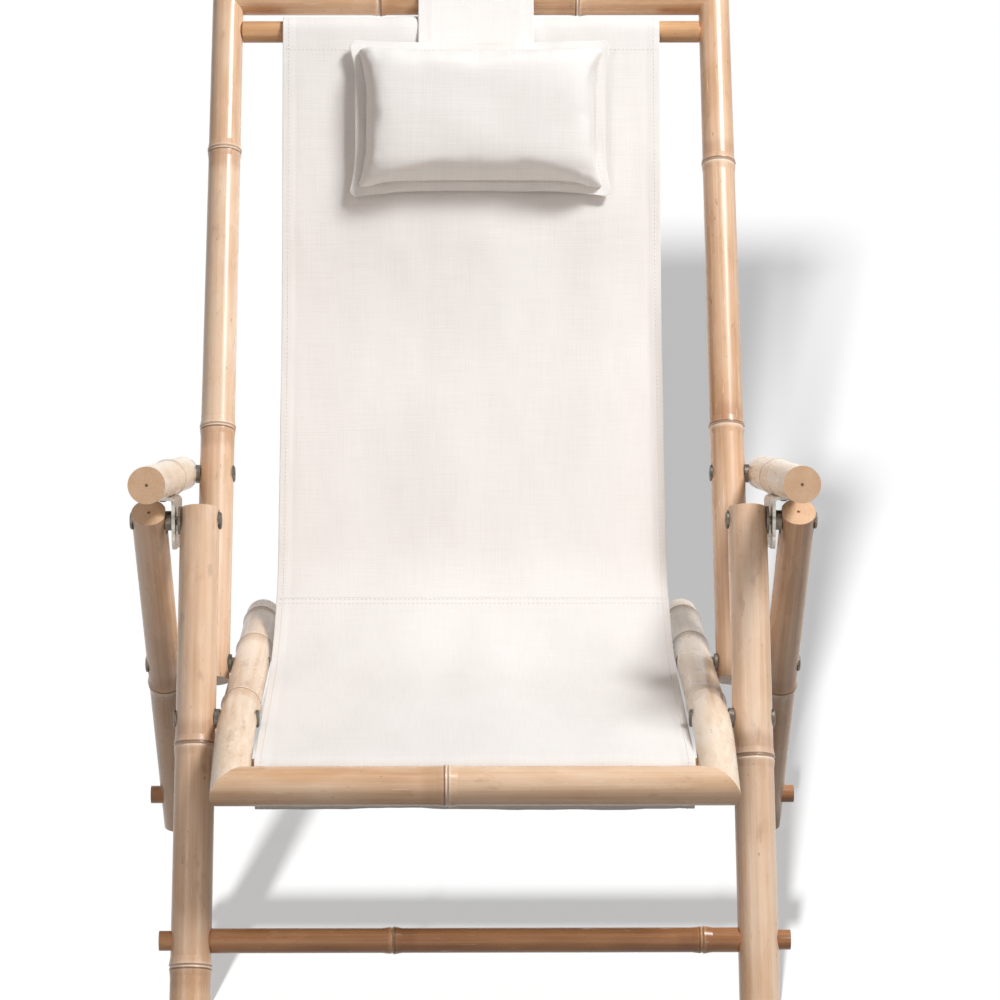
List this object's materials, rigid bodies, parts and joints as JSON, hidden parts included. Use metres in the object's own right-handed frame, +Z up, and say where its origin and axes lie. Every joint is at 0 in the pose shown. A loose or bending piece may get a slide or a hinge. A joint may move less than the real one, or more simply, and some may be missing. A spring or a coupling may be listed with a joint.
{
  "type": "bamboo beach chair",
  "caption": "Folding bamboo beach chair with crossed cane legs, a reclining back frame, cane armrests on hooked brackets, a white canvas sling and a strapped head pillow.",
  "frame": {"origin": "on the floor under the middle of the chair's box", "axes": "+Z up, +X to the sitter's left, -Y the way the sitter faces"},
  "size_m": [0.644, 0.7582, 0.8264],
  "materials": {
    "bamboo_cane": "satin lacquered bamboo skin with pale highlights",
    "bamboo_rod": "satin bamboo, warmer and darker than the canes",
    "dowel_wood": "plain turned wood",
    "bracket_steel": "brushed nickel",
    "fastener_steel": "brushed nickel",
    "canvas": "warm white cotton canvas"
  },
  "bodies": {
    "front_legs": {"front_leg_left": "bamboo_cane", "front_leg_right": "bamboo_cane", "front_stretcher": "bamboo_rod", "leg_joint_bolts": "fastener_steel", "leg_joint_nuts": "fastener_steel", "leg_joint_washers": "fastener_steel", "leg_joint_spacers": "fastener_steel", "seat_pivot_bolts": "fastener_steel", "seat_pivot_nuts": "fastener_steel", "seat_pivot_washers": "fastener_steel"},
    "rear_legs": {"rear_leg_left": "bamboo_cane", "rear_leg_right": "bamboo_cane", "rear_stretcher": "bamboo_rod", "back_pivot_bolts": "fastener_steel", "saddle_pins": "fastener_steel", "back_pivot_spacers": "fastener_steel", "sling_seat_panel": "canvas"},
    "seat_frame": {"seat_rail_left": "bamboo_cane", "seat_rail_right": "bamboo_cane", "seat_front_rail": "bamboo_cane", "seat_sling_rod": "bamboo_rod", "seat_corner_dowels": "dowel_wood"},
    "back_frame": {"back_stile_left": "bamboo_cane", "back_stile_right": "bamboo_cane", "back_top_rail": "bamboo_cane", "back_sling_rod": "bamboo_rod", "back_corner_dowels": "dowel_wood", "arm_pivot_bolts": "fastener_steel", "arm_pivot_nuts": "fastener_steel", "arm_pivot_washers": "fastener_steel", "sling_back_panel": "canvas", "pillow": "canvas", "pillow_strap": "canvas"},
    "left_arm": {"armrest_left": "bamboo_cane", "arm_bracket_left": "bracket_steel", "bracket_screws_left": "fastener_steel"},
    "right_arm": {"armrest_right": "bamboo_cane", "arm_bracket_right": "bracket_steel", "bracket_screws_right": "fastener_steel"}
  },
  "joints": [
    {"name": "leg_fold", "type": "hinge", "parent": "front_legs", "child": "rear_legs", "pos_m": [0, -0.13935, 0.382], "axis": [-1, 0, 0], "range_deg": [0, 50], "deforming": ["sling_seat_panel"]},
    {"name": "seat_fold", "type": "hinge", "parent": "front_legs", "child": "seat_frame", "pos_m": [0, -0.23108, 0.222], "axis": [1, 0, 0], "range_deg": [0, 60]},
    {"name": "back_fold", "type": "hinge", "parent": "rear_legs", "child": "back_frame", "pos_m": [0, -0.03184, 0.213], "axis": [1, 0, 0], "range_deg": [0, 50], "deforming": ["sling_back_panel"]},
    {"name": "left_arm_fold", "type": "hinge", "parent": "back_frame", "child": "left_arm", "pos_m": [0.28565, 0.07438, 0.37409], "axis": [-1, 0, 0], "range_deg": [0, 110]},
    {"name": "right_arm_fold", "type": "hinge", "parent": "back_frame", "child": "right_arm", "pos_m": [-0.28565, 0.07438, 0.37409], "axis": [-1, 0, 0], "range_deg": [0, 110]}
  ],
  "couplings": [
    {"joint": "seat_fold", "follows": "leg_fold", "ratio": 1.2},
    {"joint": "left_arm_fold", "follows": "back_fold", "ratio": 2.2},
    {"joint": "right_arm_fold", "follows": "back_fold", "ratio": 2.2}
  ]
}
